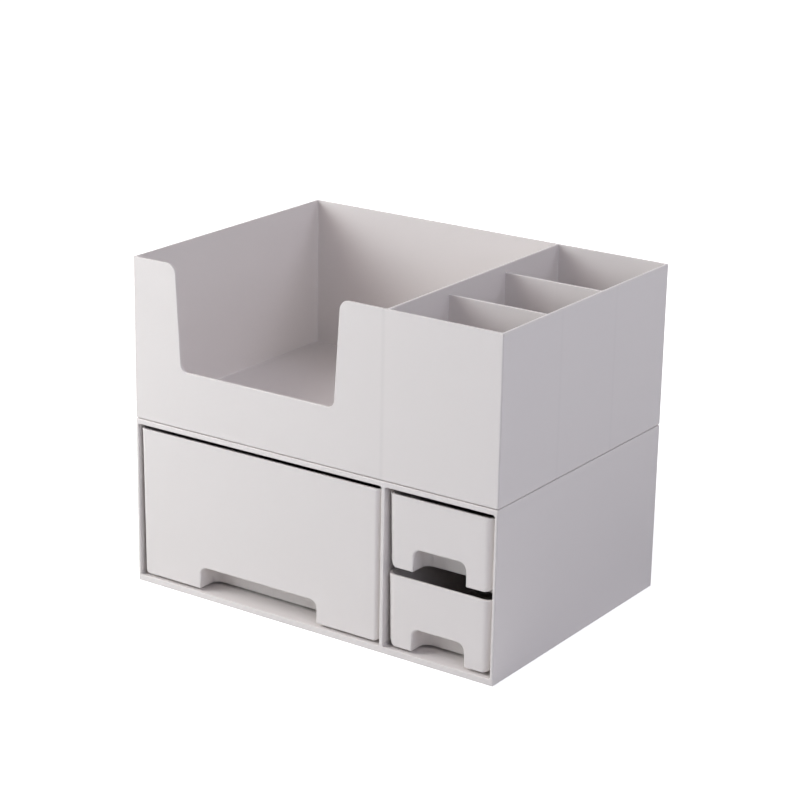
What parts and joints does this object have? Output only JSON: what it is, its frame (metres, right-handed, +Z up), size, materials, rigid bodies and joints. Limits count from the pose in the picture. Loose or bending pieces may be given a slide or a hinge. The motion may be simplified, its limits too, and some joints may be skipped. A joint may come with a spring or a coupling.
{
  "type": "makeup caddy",
  "caption": "Desktop makeup caddy: a drawer cabinet with finger-pull drawers, carrying a lift-off open tray with compartments and a scooped front wall.",
  "frame": {"origin": "middle of the footprint, on the surface that the caddy stands on", "axes": "+X to the right seen from the front, along the longest side; +Y to the back, so the drawers open towards -Y; +Z up"},
  "size_m": [0.29, 0.205, 0.231],
  "materials": {
    "cabinet_plastic": "satin moulded polypropylene, warm light grey",
    "tray_plastic": "satin moulded polypropylene, warm light grey",
    "drawer_plastic": "satin moulded polypropylene, warm light grey"
  },
  "bodies": {
    "cabinet": {"cabinet_shell": "cabinet_plastic"},
    "tray": {"organiser_tray": "tray_plastic"},
    "large_drawer": {"large_drawer": "drawer_plastic"},
    "upper_small_drawer": {"upper_small_drawer": "drawer_plastic"},
    "lower_small_drawer": {"lower_small_drawer": "drawer_plastic"}
  },
  "joints": [
    {"name": "large_drawer_slide", "type": "slide", "parent": "cabinet", "child": "large_drawer", "axis": [0, -1, 0], "range_m": [0, 0.15]},
    {"name": "upper_small_drawer_slide", "type": "slide", "parent": "cabinet", "child": "upper_small_drawer", "axis": [0, -1, 0], "range_m": [0, 0.15]},
    {"name": "lower_small_drawer_slide", "type": "slide", "parent": "cabinet", "child": "lower_small_drawer", "axis": [0, -1, 0], "range_m": [0, 0.15]},
    {"name": "tray_lift", "type": "slide", "parent": "cabinet", "child": "tray", "axis": [0, 0, 1], "range_m": [0, 0.06]}
  ]
}
